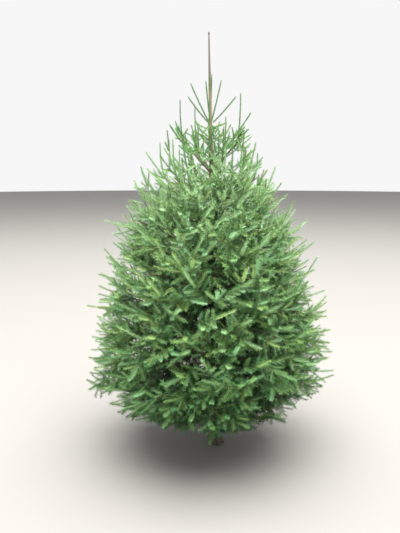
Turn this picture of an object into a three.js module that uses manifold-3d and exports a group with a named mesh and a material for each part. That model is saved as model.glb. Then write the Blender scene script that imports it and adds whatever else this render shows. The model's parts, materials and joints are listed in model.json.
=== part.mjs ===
// A young field-grown spruce, 2.35 m tall, of the kind sheared for Christmas: one trunk from its flat
// cut at the ground to the tip of its bare leader, eight whorls of boughs with the fans of needled
// shoots that they carry, and four young shoots round the foot of the leader. Millimetres, +Z up,
// origin on the ground at the middle of the trunk's foot. The front of the tree faces -Y.
import * as THREE from "three";
import { mergeVertices } from "three/addons/utils/BufferGeometryUtils.js";
import Module from "manifold-3d";

const wasm = await Module();
wasm.setup();

// Whole tree
const TREE_HEIGHT = 2350;
const LEAN = 50; // how far the tip stands to -X of the foot
const GAP = 0.3; // between solids that touch
const CLEAR = 1.5; // between a mass and whatever isn't its own seat
const SHORTEST_EDGE = 0.05;

// Trunk
const TRUNK_FOOT_RADIUS = 28;
const LEADER_TIP_RADIUS = 3.5;
const TAPER_POWER = 0.9;
const ROOT_FLARE = 15;
const ROOT_FLARE_HEIGHT = 45;
const ROOT_COUNT = 5;
const ROOT_LOBE = 0.4; // share of the flare that stands out as root ridges
const WHORL_SWELLING = 1.6;
const WHORL_SWELLING_LENGTH = 22;
const TRUNK_SIDES = 10;
const FOOT_RINGS = [0, 18, 40, 75, 130]; // heights of its stations in the root flare
const BETWEEN_WHORLS = 0.45; // where its station between two whorls is, as a share
const BUD_LENGTH = 14;
const BUD_TIP_SHARE = 0.35; // the tip's radius, as a share of the leader's

// Crown outline: a dome under its widest ring, and a slightly bellied cone over it
const CROWN_RADIUS = 700;
const CROWN_WIDEST_AT = 600;
const CROWN_FOOT = 168;
const CROWN_TOP = 2180;
const CROWN_BELLY = 140;
const BELLY_POWER = 1.5;
const LEAST_CROWN_RADIUS = 30;
const CROWN_LOPSIDED = 0.05; // the -X side reaches this share further, and the +X side less
const REACH_VARIES = 0.05;
const OVERREACH = 0.06; // share of its reach by which needles may pass it

// Whorls, from the lowest: one for each year's growth
const WHORL_HEIGHTS = [205, 355, 525, 705, 900, 1110, 1350, 1605];
const BOUGHS_IN_WHORL = 5;
const BARE_BOUGH_WHORLS = 3; // the lowest whorls show bare boughs, each a solid of its own
const WHORL_TURN = 36; // degrees from one whorl to the next
const FIRST_BOUGH_AT = 14; // degrees, where the lowest whorl starts
const LOWEST_RISE = 3; // degrees above level
const HIGHEST_RISE = 46;
const RISE_POWER = 1.4;
const BOUGH_ARCH = 0.05; // share of its reach that a bough arches over its chord
const LAYER_UNDER_CROWN = 50; // how far the lowest fans hang under their boughs
const LAYER_OVER_CROWN = 200; // how far the highest fans may stand over their boughs

// Boughs and the stems in the foliage
const BARE_SHARE = 0.38; // share of the reach that is bare wood
const STEM_END_SHARE = 0.8;
const THINNEST_ROOT_RADIUS = 2.5;
const THICKEST_ROOT_RADIUS = 10;
const ROOT_RADIUS_PER_REACH = 0.0145;
const STEM_TIP_SHARE = 0.45; // a limb's radius at the end of its stem, as a share of its root's
const BOUGH_SIDES = 5;
const STEM_SIDES = 3;
const LIMB_RINGS = 3;
const CURVE_STEPS = 10;

// Fans of shoots
const SHOOT_ANGLE = 50; // degrees between a side shoot and the bough that it leaves
const FAN_SPREAD = 29; // degrees round the trunk, from the bough to the ends of the outermost shoots
const SHOOT_SPACING = 110; // between the ends of neighbouring shoots
const FEWEST_SHOOTS = 5;
const MOST_SHOOTS = 7;
const FAN_HALF_ANGLE = 35.4;
const OFFSET_VARIES = 2;
const LEVEL_SHARE = 0.5; // share of its half of the layer that a shoot's end stands over its bough
const LEVEL_VARIES = 0.3;
const TIP_VARIES = 0.06; // share of the reach by which a shoot may end short
const FIRST_SHOOT_AT = 0.03; // the least share of the bough between its stem's start and a shoot
const LAST_SHOOT_BEFORE = 0.04; // the same, between a shoot and the stem's end
const SHOOT_SAG = 0.07;
const SHOOT_ROOT_SHARE = 0.6; // a shoot's radius at its root, as a share of its stem's
const BRUSH_RADIUS = 52; // needles' tips from the shoot's middle, larger than life
const SMALLEST_BRUSH_SHARE = 0.55;
const BRUSH_CORE_SHARE = 0.36;
const BRUSH_TAPER = 0.4;
const BRUSH_BARE_SHARE = 0.3; // at its root, inside the fan
const LAST_NEEDLES_AT = 0.84;
const NEEDLE_WHORL_LENGTH = 90;
const MOST_NEEDLE_WHORLS = 3;
const NEEDLE_SWEEP = 0.1; // how far the core's waist is past its needles, as a share of their spacing
const NEEDLE_TWIST = 35; // degrees from ring to ring

// The dense heart of a fan
const HEART_FROM = 0.4;
const HEART_TO = 0.8;
const HEART_FULLNESS = [0.5, 1, 0.75, 0]; // along its length
const HEART_WIDTH_SHARE = 0.72;
const HEART_HEIGHT_SHARE = 0.72;
const HEART_SIDES = 8;
const HEART_TOOTH = 0.16; // how far every other corner stands out, and the rest stand in
const TOOTH_VARIES = 0.6;
const HEARTLESS_WHORLS = 1; // at the top, where the foliage is open

// The young shoots round the foot of the leader
const TOP_SHOOTS_AT = 1868;
const TOP_SHOOTS = [
  { turn: -8, rise: 46, length: 195 },
  { turn: 75, rise: 80, length: 270 },
  { turn: 172, rise: 51, length: 185 },
  { turn: 255, rise: 68, length: 225 },
];
const TOP_SHOOT_BRUSH = 22;
const TOP_SHOOT_STEM = 3;
const TOP_SHOOT_NEEDLES_FROM = 0.12;

// Finishes
const DARK_NEEDLE_WHORLS = 4; // from the lowest

const radians = THREE.MathUtils.degToRad;
const lerp = THREE.MathUtils.lerp;

// Seeded draws, the same on every run
function dice(seed) {
  let state = Math.imul(seed, 2654435761) >>> 0;
  const next = () => {
    state = (Math.imul(state, 1664525) + 1013904223) >>> 0;
    return state / 2 ** 32;
  };
  for (let warm = 0; warm < 3; warm += 1) next();
  return { next, spread: (amount) => (2 * next() - 1) * amount };
}

// Where the trunk's middle is at a height, and a point at a radius and angle round it
function trunkMiddle(z) {
  return new THREE.Vector3((-LEAN * z) / TREE_HEIGHT, 0, z);
}

function roundTrunk(radius, angle, z) {
  return trunkMiddle(z).add(
    new THREE.Vector3(radius * Math.cos(angle), radius * Math.sin(angle), 0),
  );
}

function polar(point) {
  const middle = trunkMiddle(point.z);
  const x = point.x - middle.x;
  const y = point.y - middle.y;
  return { radius: Math.hypot(x, y), angle: Math.atan2(y, x), z: point.z };
}

function trunkRadius(z) {
  const left = Math.max(0, 1 - z / TREE_HEIGHT);
  const taper = LEADER_TIP_RADIUS + (TRUNK_FOOT_RADIUS - LEADER_TIP_RADIUS) * left ** TAPER_POWER;
  const nearest = Math.min(...WHORL_HEIGHTS.map((h) => Math.abs(h - z)));
  return taper + WHORL_SWELLING * Math.exp(-((nearest / WHORL_SWELLING_LENGTH) ** 2));
}

function crownRadius(z, angle) {
  const under = (CROWN_WIDEST_AT - z) / (CROWN_WIDEST_AT - CROWN_FOOT);
  const over = (z - CROWN_WIDEST_AT) / (CROWN_TOP - CROWN_WIDEST_AT);
  const dome = CROWN_RADIUS * Math.sqrt(Math.max(0, 1 - under ** 2));
  const belly = CROWN_BELLY * Math.max(0, Math.sin(Math.PI * over)) ** BELLY_POWER;
  const even = z < CROWN_WIDEST_AT ? dome : CROWN_RADIUS * (1 - over) + belly;
  return Math.max(LEAST_CROWN_RADIUS, even) * (1 - CROWN_LOPSIDED * Math.cos(angle));
}

// A whorl's boughs lie on one rising, slightly arched surface, which ends at the crown's outline
function whorlOf(index) {
  const height = WHORL_HEIGHTS[index];
  const share = index / (WHORL_HEIGHTS.length - 1);
  const slope = Math.tan(radians(lerp(LOWEST_RISE, HIGHEST_RISE, share ** RISE_POWER)));
  let reach = CROWN_RADIUS / 2;
  for (let round = 0; round < 30; round += 1) {
    reach = lerp(reach, crownRadius(height + slope * reach, Math.PI / 2), 0.5);
  }
  const level = (radius) =>
    height + slope * radius + BOUGH_ARCH * reach * Math.sin(Math.PI * Math.min(1, radius / reach));
  return { index, height, reach, level };
}

const whorls = WHORL_HEIGHTS.map((_, index) => whorlOf(index));

// The lowest and highest that a whorl's foliage may be at a radius
function layerOf(whorl, radius) {
  const here = whorl.level(radius);
  const under = whorls[whorl.index - 1];
  const over = whorls[whorl.index + 1];
  return {
    here,
    low: under ? (here + under.level(radius)) / 2 : here - LAYER_UNDER_CROWN,
    high: over ? (here + over.level(radius)) / 2 : here + LAYER_OVER_CROWN,
  };
}

// Solids
function solidOf(geometry) {
  geometry.deleteAttribute("normal");
  geometry.deleteAttribute("uv");
  const merged = mergeVertices(geometry, 1e-4);
  return new wasm.Manifold(
    new wasm.Mesh({
      numProp: 3,
      vertProperties: merged.attributes.position.array,
      triVerts: new Uint32Array(merged.index.array),
    }),
  );
}

// The outer skin of the largest body, with edges too short to matter closed up: sealed hollows are
// filled, and loose scraps are dropped
function oneBody(solid) {
  const largest = (bodies) => bodies.reduce((kept, body) => (body.volume() > kept.volume() ? body : kept));
  return largest(largest(solid.decompose()).simplify(SHORTEST_EDGE).decompose());
}

function meshOf(name, solid, material) {
  const { vertProperties, triVerts } = solid.getMesh();
  const geometry = new THREE.BufferGeometry();
  geometry.setAttribute("position", new THREE.BufferAttribute(vertProperties, 3));
  geometry.setIndex(new THREE.BufferAttribute(triVerts, 1));
  geometry.computeVertexNormals();
  const mesh = new THREE.Mesh(geometry, material);
  mesh.name = name;
  return mesh;
}

// A closed skin over stations, from root to tip: a cylinder whose rings are moved to the stations.
// A station has its middle, the direction that it faces, and half sizes across and up. Its turn
// rotates the ring, and its shape scales each corner by the angle. A last size of 0 makes a point.
function skin(sides, stations) {
  const last = stations.length - 1;
  const pointed = stations[last].across === 0;
  const geometry = new THREE.CylinderGeometry(pointed ? 0 : 1, 1, last, sides, last);
  const places = geometry.attributes.position;
  for (let i = 0; i < places.count; i += 1) {
    const ring = Math.round(places.getY(i) + last / 2);
    const { middle, facing, across, up, turn = 0, shape } = stations[ring];
    const onRim = Math.hypot(places.getX(i), places.getZ(i)) > 1e-6;
    const angle = Math.atan2(places.getX(i), places.getZ(i)) + turn;
    const scale = onRim ? (shape ? shape(angle) : 1) : 0;
    const rise = new THREE.Vector3(0, 0, 1).projectOnPlane(facing);
    if (rise.length() < 0.05) rise.set(0, 1, 0).projectOnPlane(facing);
    rise.normalize();
    const side = new THREE.Vector3().crossVectors(facing, rise);
    const place = middle
      .clone()
      .addScaledVector(side, Math.sin(angle) * across * scale)
      .addScaledVector(rise, Math.cos(angle) * up * scale);
    places.setXYZ(i, place.x, place.y, place.z);
  }
  return solidOf(geometry);
}

// A round limb along a curve, from one share of it to another
function limb(curve, from, to, radiusAt, sides) {
  const stations = [];
  for (let ring = 0; ring <= LIMB_RINGS; ring += 1) {
    const share = lerp(from, to, ring / LIMB_RINGS);
    const size = radiusAt(share);
    stations.push({
      middle: curve.getPoint(share),
      facing: curve.getTangent(share),
      across: size,
      up: size,
    });
  }
  return skin(sides, stations);
}

// A needled shoot: a slim core with whorls of needles that stand out of it and lean forward
function brush(from, to, radius, rootRadius, bareShare, draws) {
  const length = from.distanceTo(to);
  const middle = from.clone().lerp(to, 0.5);
  middle.z -= SHOOT_SAG * length;
  const curve = new THREE.QuadraticBezierCurve3(from, middle, to);
  const count = Math.round(length / NEEDLE_WHORL_LENGTH);
  const needleWhorls = THREE.MathUtils.clamp(count, 2, MOST_NEEDLE_WHORLS);
  const core = radius * BRUSH_CORE_SHARE;
  const start = draws.next() * Math.PI;
  const stations = [{ share: 0, size: rootRadius }];
  for (let whorl = 1; whorl <= needleWhorls; whorl += 1) {
    const share = lerp(bareShare, LAST_NEEDLES_AT, whorl / needleWhorls);
    const taper = 1 - BRUSH_TAPER * share;
    stations.push({ share, size: radius * taper });
    const waist = share + NEEDLE_SWEEP / needleWhorls;
    if (whorl < needleWhorls) stations.push({ share: waist, size: core * taper });
  }
  stations.push({ share: 1, size: 0 });
  return skin(
    3,
    stations.map(({ share, size }, ring) => ({
      middle: curve.getPoint(share),
      facing: curve.getTangent(share),
      across: size,
      up: size,
      turn: start + radians(NEEDLE_TWIST) * ring,
    })),
  );
}

// Trunk and leader, from the flat cut at the ground to the tip
function trunkSolid(extra) {
  const heights = [...FOOT_RINGS];
  WHORL_HEIGHTS.forEach((height, index) => {
    const next = WHORL_HEIGHTS[index + 1] ?? TREE_HEIGHT;
    heights.push(height, lerp(height, next, BETWEEN_WHORLS));
  });
  heights.push(TREE_HEIGHT - BUD_LENGTH, TREE_HEIGHT);
  const stations = heights.map((z) => {
    const flare = ROOT_FLARE * Math.exp(-z / ROOT_FLARE_HEIGHT);
    const size = trunkRadius(z) * (z === TREE_HEIGHT ? BUD_TIP_SHARE : 1) + extra;
    return {
      middle: trunkMiddle(z),
      facing: new THREE.Vector3(0, 0, 1),
      across: size,
      up: size,
      shape: (angle) => 1 + (flare / size) * (1 + ROOT_LOBE * Math.cos(ROOT_COUNT * angle)),
    };
  });
  return skin(TRUNK_SIDES, stations);
}

const trunk = trunkSolid(0);
const trunkAndGap = trunkSolid(GAP);

// A bough's line, from inside the trunk to its tip on the crown's outline
function boughCurve(whorl, angle, reach) {
  const points = [];
  for (let step = 0; step <= CURVE_STEPS; step += 1) {
    const radius = (reach * step) / CURVE_STEPS;
    points.push(roundTrunk(radius, angle, whorl.level((radius * whorl.reach) / reach)));
  }
  return new THREE.CatmullRomCurve3(points);
}

// True where a solid keeps to its fan's own space: its layer of the crown, and its slice of it
function keepsToSpace(solid, whorl, angle, reach) {
  const { vertProperties } = solid.getMesh();
  for (let i = 0; i < vertProperties.length; i += 3) {
    const place = polar(new THREE.Vector3(...vertProperties.slice(i, i + 3)));
    const layer = layerOf(whorl, place.radius);
    const offset = Math.atan2(Math.sin(place.angle - angle), Math.cos(place.angle - angle));
    const roomAround = place.radius * Math.sin(radians(FAN_HALF_ANGLE) - Math.abs(offset));
    if (place.z < layer.low + CLEAR || place.z > layer.high - CLEAR) return false;
    if (roomAround < CLEAR || place.radius > reach * (1 + OVERREACH)) return false;
  }
  return true;
}

function touches(solid, others) {
  return others.some((other) => solid.minGap(other, CLEAR) < CLEAR);
}

// The heart of a fan: a flattened, toothed lobe along its stem
function heart(whorl, angle, reach, draws) {
  const last = HEART_FULLNESS.length - 1;
  const stations = HEART_FULLNESS.map((fullness, ring) => {
    const radius = reach * lerp(HEART_FROM, HEART_TO, ring / last);
    const layer = layerOf(whorl, radius);
    const room = Math.min(layer.high - layer.here, layer.here - layer.low);
    const tooth = HEART_TOOTH * (1 + draws.spread(TOOTH_VARIES));
    return {
      middle: roundTrunk(radius, angle, layer.here),
      facing: new THREE.Vector3(Math.cos(angle), Math.sin(angle), 0),
      across: radius * Math.sin(radians(FAN_HALF_ANGLE)) * HEART_WIDTH_SHARE * fullness,
      up: room * HEART_HEIGHT_SHARE * fullness,
      turn: (ring * Math.PI) / HEART_SIDES,
      shape: (at) => 1 + tooth * Math.cos((at * HEART_SIDES) / 2),
    };
  });
  return skin(HEART_SIDES, stations);
}

// Where a fan's shoots end, in radians round the trunk from its bough: the middle one first, and
// then by turns to either side
function shootOffsets(reach) {
  const width = 2 * reach * radians(FAN_SPREAD);
  const fitting = 2 * Math.floor(width / SHOOT_SPACING / 2) + 1;
  const count = THREE.MathUtils.clamp(fitting, FEWEST_SHOOTS, MOST_SHOOTS);
  return Array.from({ length: count }, (_, order) => {
    const pair = Math.ceil(order / 2);
    const side = order % 2 ? -1 : 1;
    return (side * pair * radians(FAN_SPREAD)) / ((count - 1) / 2);
  });
}

// A fan: its stem, its heart, and the shoots that leave the stem on either side and, by turns, above
// and below it. A shoot that would leave the fan's space or touch a limb is skipped.
function fan(whorl, angle, reach, curve, stemFrom, radiusAt, obstacles, draws) {
  let solid = limb(curve, stemFrom, STEM_END_SHARE, radiusAt, STEM_SIDES);
  if (stemFrom === 0) solid = solid.subtract(trunkAndGap);
  if (whorl.index < whorls.length - HEARTLESS_WHORLS) solid = solid.add(heart(whorl, angle, reach, draws));
  const layer = layerOf(whorl, reach);
  const size = BRUSH_RADIUS * THREE.MathUtils.clamp(reach / CROWN_RADIUS, SMALLEST_BRUSH_SHARE, 1);
  shootOffsets(reach).forEach((even, order) => {
    const offset = even + radians(order ? draws.spread(OFFSET_VARIES) : 0);
    const atRoot = Math.cos(offset) - Math.abs(Math.sin(offset)) / Math.tan(radians(SHOOT_ANGLE));
    const nearest = stemFrom + FIRST_SHOOT_AT;
    const rootShare = THREE.MathUtils.clamp(atRoot, nearest, STEM_END_SHARE - LAST_SHOOT_BEFORE);
    const way = order % 4 < 2 ? 1 : -1;
    const room = way > 0 ? layer.high - layer.here : layer.here - layer.low;
    const level = layer.here + way * room * LEVEL_SHARE * (1 + draws.spread(LEVEL_VARIES));
    const tip = roundTrunk(reach * (1 - draws.next() * TIP_VARIES), angle + offset, level);
    const rootRadius = radiusAt(rootShare) * SHOOT_ROOT_SHARE;
    const shoot = brush(curve.getPoint(rootShare), tip, size, rootRadius, BRUSH_BARE_SHARE, draws);
    const fits = keepsToSpace(shoot, whorl, angle, reach) && !touches(shoot, obstacles);
    if (fits) solid = solid.add(shoot);
  });
  return oneBody(solid);
}

// A young shoot at the foot of the leader, needled along almost all its length
function topShoot({ turn, rise, length }, draws) {
  const angle = radians(turn);
  const outward = length * Math.cos(radians(rise));
  const upward = length * Math.sin(radians(rise));
  const root = roundTrunk(0, angle, TOP_SHOOTS_AT);
  const tip = roundTrunk(outward, angle, TOP_SHOOTS_AT + upward);
  return brush(root, tip, TOP_SHOOT_BRUSH, TOP_SHOOT_STEM, TOP_SHOOT_NEEDLES_FROM, draws);
}

// Its finishes
const bark = new THREE.MeshStandardMaterial({ color: 0x5d4a3c, roughness: 0.9 });
const boughBark = new THREE.MeshStandardMaterial({ color: 0x6f5137, roughness: 0.85 });
const lowNeedles = new THREE.MeshStandardMaterial({ color: 0x2f5f2c, roughness: 0.6 });
const highNeedles = new THREE.MeshStandardMaterial({ color: 0x4c8040, roughness: 0.6 });

const tree = new THREE.Group();
tree.add(meshOf("trunk", trunk, bark));

// The whorls, from the lowest, each bough with its fan
const made = [];
whorls.forEach((whorl) => {
  for (let number = 1; number <= BOUGHS_IN_WHORL; number += 1) {
    const draws = dice(whorl.index * BOUGHS_IN_WHORL + number);
    const turn = FIRST_BOUGH_AT + WHORL_TURN * whorl.index + (360 / BOUGHS_IN_WHORL) * (number - 1);
    const angle = radians(turn);
    const lopsided = 1 - CROWN_LOPSIDED * Math.cos(angle);
    const reach = whorl.reach * lopsided * (1 + draws.spread(REACH_VARIES));
    const curve = boughCurve(whorl, angle, reach);
    const rootRadius = Math.min(THICKEST_ROOT_RADIUS, THINNEST_ROOT_RADIUS + reach * ROOT_RADIUS_PER_REACH);
    const radiusAt = (share) => rootRadius * lerp(1, STEM_TIP_SHARE, share);
    const obstacles = [trunk, ...made];
    let stemFrom = 0;
    if (whorl.index < BARE_BOUGH_WHORLS) {
      const bough = limb(curve, 0, BARE_SHARE, radiusAt, BOUGH_SIDES).subtract(trunkAndGap);
      tree.add(meshOf(`bough_${whorl.index + 1}_${number}`, bough, boughBark));
      obstacles.push(bough);
      made.push(bough);
      stemFrom = BARE_SHARE + GAP / curve.getLength();
    }
    const foliage = fan(whorl, angle, reach, curve, stemFrom, radiusAt, obstacles, draws);
    made.push(foliage);
    const needles = whorl.index < DARK_NEEDLE_WHORLS ? lowNeedles : highNeedles;
    tree.add(meshOf(`foliage_${whorl.index + 1}_${number}`, foliage, needles));
  }
});

TOP_SHOOTS.forEach((shoot, index) => {
  const draws = dice(whorls.length * BOUGHS_IN_WHORL + index + 1);
  const needled = topShoot(shoot, draws).subtract(trunkAndGap);
  tree.add(meshOf(`foliage_top_${index + 1}`, oneBody(needled), highNeedles));
});

export default tree;
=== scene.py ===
import json
import math

import bpy
import numpy as np
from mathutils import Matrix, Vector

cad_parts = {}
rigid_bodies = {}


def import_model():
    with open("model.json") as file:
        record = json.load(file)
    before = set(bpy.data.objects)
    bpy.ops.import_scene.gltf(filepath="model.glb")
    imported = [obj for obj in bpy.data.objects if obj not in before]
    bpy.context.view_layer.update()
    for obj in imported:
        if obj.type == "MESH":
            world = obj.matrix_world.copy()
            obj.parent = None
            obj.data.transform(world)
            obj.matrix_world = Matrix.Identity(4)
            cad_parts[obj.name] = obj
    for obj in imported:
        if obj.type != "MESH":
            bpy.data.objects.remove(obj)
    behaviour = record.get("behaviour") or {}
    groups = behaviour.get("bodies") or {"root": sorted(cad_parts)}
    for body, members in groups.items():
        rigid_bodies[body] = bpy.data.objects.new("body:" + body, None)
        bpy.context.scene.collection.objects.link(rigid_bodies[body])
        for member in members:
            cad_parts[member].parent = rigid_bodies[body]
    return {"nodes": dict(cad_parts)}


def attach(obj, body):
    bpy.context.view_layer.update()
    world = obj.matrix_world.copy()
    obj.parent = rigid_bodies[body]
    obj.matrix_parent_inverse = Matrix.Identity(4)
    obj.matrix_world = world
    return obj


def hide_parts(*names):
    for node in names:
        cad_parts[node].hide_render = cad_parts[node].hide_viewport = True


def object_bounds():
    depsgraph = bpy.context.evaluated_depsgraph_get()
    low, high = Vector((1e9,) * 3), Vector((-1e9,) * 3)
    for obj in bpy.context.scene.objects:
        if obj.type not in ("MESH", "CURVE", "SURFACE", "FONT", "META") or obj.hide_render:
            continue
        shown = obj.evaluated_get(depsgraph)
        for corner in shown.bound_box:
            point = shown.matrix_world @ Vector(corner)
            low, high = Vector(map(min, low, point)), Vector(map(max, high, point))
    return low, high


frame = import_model()
cad_box = np.array(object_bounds())

# Camera. It stands three metres in front of the tree at a grown person's eye height, a little to
# the left of the trunk, and looks slightly down.
EYE_HEIGHT = 1.63
EYE_DISTANCE = 3.04
EYE_LEFT_OF_TRUNK = 0.097
LOOKS_DOWN = 10.2
LENS_MM = 36.5
FARTHEST_SEEN = 200

camera = bpy.data.objects.new("camera", bpy.data.cameras.new("camera"))
camera.location = (-EYE_LEFT_OF_TRUNK, -EYE_DISTANCE, EYE_HEIGHT)
camera.rotation_euler = (math.radians(90 - LOOKS_DOWN), 0, 0)
camera.data.lens = LENS_MM
camera.data.clip_end = FARTHEST_SEEN
bpy.context.scene.collection.objects.link(camera)
bpy.context.scene.camera = camera
bpy.context.scene.view_settings.view_transform = "Standard"


# Studio. A wide round matt floor in pale warm grey, under an even white sky and one large soft lamp
# high above the tree.
FLOOR_RADIUS = 40
FLOOR_SIDES = 128
FLOOR_COLOUR = (0.21, 0.201, 0.186)
FLOOR_ROUGHNESS = 0.9
SKY_STRENGTH = 0.93
LAMP_SIZE = 16
LAMP_POWER = 10000
LAMP_PLACE = (0.5, -1.2, 13.6)
LAMP_TILT = (5, 2, 0)


def plain_material(name, colour, roughness):
    material = bpy.data.materials.new(name)
    material.use_nodes = True
    shader = material.node_tree.nodes["Principled BSDF"]
    shader.inputs["Base Color"].default_value = (*colour, 1)
    shader.inputs["Roughness"].default_value = roughness
    return material


bpy.ops.mesh.primitive_circle_add(vertices=FLOOR_SIDES, radius=FLOOR_RADIUS, fill_type="NGON")
floor = bpy.context.object
floor.name = "floor"
floor.data.materials.append(plain_material("floor", FLOOR_COLOUR, FLOOR_ROUGHNESS))

sky = bpy.data.worlds.new("sky")
sky.use_nodes = True
sky.node_tree.nodes["Background"].inputs["Color"].default_value = (1, 1, 1, 1)
sky.node_tree.nodes["Background"].inputs["Strength"].default_value = SKY_STRENGTH
bpy.context.scene.world = sky

lamp = bpy.data.objects.new("lamp", bpy.data.lights.new("lamp", "AREA"))
lamp.data.size = LAMP_SIZE
lamp.data.energy = LAMP_POWER
lamp.location = LAMP_PLACE
lamp.rotation_euler = [math.radians(turn) for turn in LAMP_TILT]
bpy.context.scene.collection.objects.link(lamp)


# Trunk and leader. One tapering stem of resinous wood, flared at the foot, with scaly grey-brown
# bark that turns thin, smooth and paler up the leader, and a blunt bud at the tip.
TREE_HEIGHT = 2.35
LEAN = 0.05
TRUNK_FOOT_RADIUS = 0.028
LEADER_TIP_RADIUS = 0.0035
TAPER_POWER = 0.9
ROOT_FLARE = 0.015
ROOT_FLARE_HEIGHT = 0.045
ROOT_COUNT = 5
ROOT_LOBE = 0.4
WHORL_SWELLING = 0.0016
WHORL_SWELLING_LENGTH = 0.022
WHORL_HEIGHTS = np.array([205, 355, 525, 705, 900, 1110, 1350, 1605]) / 1000
TRUNK_SIDES = 40
TRUNK_RING_SPACING = 0.0045
BARK_RELIEF = 0.0022
BARK_LEVEL = 0.75
BARK_FADES_BY = 1.6
LEAST_BARK = 0.1
FULL_BARK_RADIUS = 0.02
BARK_SCALE_HEIGHT = 0.016
BARK_SEED = 3
BARK_OCTAVES = 4
BARK_TURNS = (2, 5)
BARK_SWAY = 1.3
BARK_SWAY_LENGTH = 5 * BARK_SCALE_HEIGHT
BARK_ROW_SHARE = 1.7
ROUGH_BARK_BELOW = 1.0
SMOOTH_BARK_ABOVE = 1.85
TRUNK_CRACKS = 0.8
BUD_LENGTH = 0.014
BUD_SHAPE = ((0.97, 1.15), (0.8, 1.4), (0.55, 1.35), (0.3, 1.05), (0.12, 0.65), (0, 0.2))


def trunk_middle(z):
    """The middle of the leaning trunk at a height."""
    z = np.asarray(z, float)
    return np.stack([-LEAN * z / TREE_HEIGHT, 0 * z, z], axis=-1)


def trunk_radius(z):
    left = np.clip(1 - np.asarray(z, float) / TREE_HEIGHT, 0, 1)
    taper = LEADER_TIP_RADIUS + (TRUNK_FOOT_RADIUS - LEADER_TIP_RADIUS) * left**TAPER_POWER
    nearest = np.abs(np.asarray(z)[..., None] - WHORL_HEIGHTS).min(axis=-1)
    return taper + WHORL_SWELLING * np.exp(-((nearest / WHORL_SWELLING_LENGTH) ** 2))


def bark_scales(around, along, seed):
    """Uneven plates: 0 in the cracks between them and 1 on their middles."""
    draws = np.random.default_rng(seed)
    height = np.zeros(np.broadcast(around, along).shape)
    for octave in range(1, BARK_OCTAVES + 1):
        turns = draws.integers(*BARK_TURNS) * octave
        phase, sway = draws.uniform(0, 2 * math.pi, 2)
        bend = np.sin(2 * math.pi * along / BARK_SWAY_LENGTH + sway + around)
        wave = turns * around + phase + BARK_SWAY * bend
        rows = 2 * math.pi * along / BARK_SCALE_HEIGHT * octave / BARK_ROW_SHARE
        rows = rows + np.sin(2 * around + sway)
        height += np.abs(np.sin(wave) * np.cos(rows)) / octave
    return height / height.max()


def mesh_piece(name, places, faces, materials, tints=None, smooth=False):
    """A mesh object from an array of places and an array of triangles or quads."""
    mesh = bpy.data.meshes.new(name)
    corners = faces.shape[1]
    mesh.vertices.add(len(places))
    mesh.vertices.foreach_set("co", np.ascontiguousarray(places, np.float32).ravel())
    mesh.loops.add(faces.size)
    mesh.loops.foreach_set("vertex_index", np.ascontiguousarray(faces, np.int32).ravel())
    mesh.polygons.add(len(faces))
    mesh.polygons.foreach_set("loop_start", np.arange(0, faces.size, corners, dtype=np.int32))
    for material in materials:
        mesh.materials.append(material)
    if tints is not None:
        mesh.polygons.foreach_set("material_index", np.ascontiguousarray(tints, np.int32))
    mesh.polygons.foreach_set("use_smooth", np.full(len(faces), smooth))
    mesh.update(calc_edges=True)
    piece = bpy.data.objects.new(name, mesh)
    bpy.context.scene.collection.objects.link(piece)
    return piece


def ring_faces(rings, sides):
    """Quads between the rings of one tube, whose points run ring by ring."""
    ring, side = np.meshgrid(np.arange(rings - 1), np.arange(sides), indexing="ij")
    here = ring * sides + side
    beside = ring * sides + (side + 1) % sides
    return np.stack([here, beside, beside + sides, here + sides], axis=-1).reshape(-1, 4)


BARK_ROUGHNESS = 0.88
PLATE_SCALE = 95
PLATE_HEIGHT_SHARE = 0.45
GRAIN_SCALE = 260
GRAIN_DETAIL = 6
GRAIN_SHARE = 0.5
CRACKS_BETWEEN = (0.35, 0.85)
CRACK_COLOUR = (0.03, 0.022, 0.018)
SMOOTH_BARK_SHARE = 0.1
BARK_BUMP_DEPTH = 0.0012
BARK_BUMP_STRENGTH = 0.6


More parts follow.
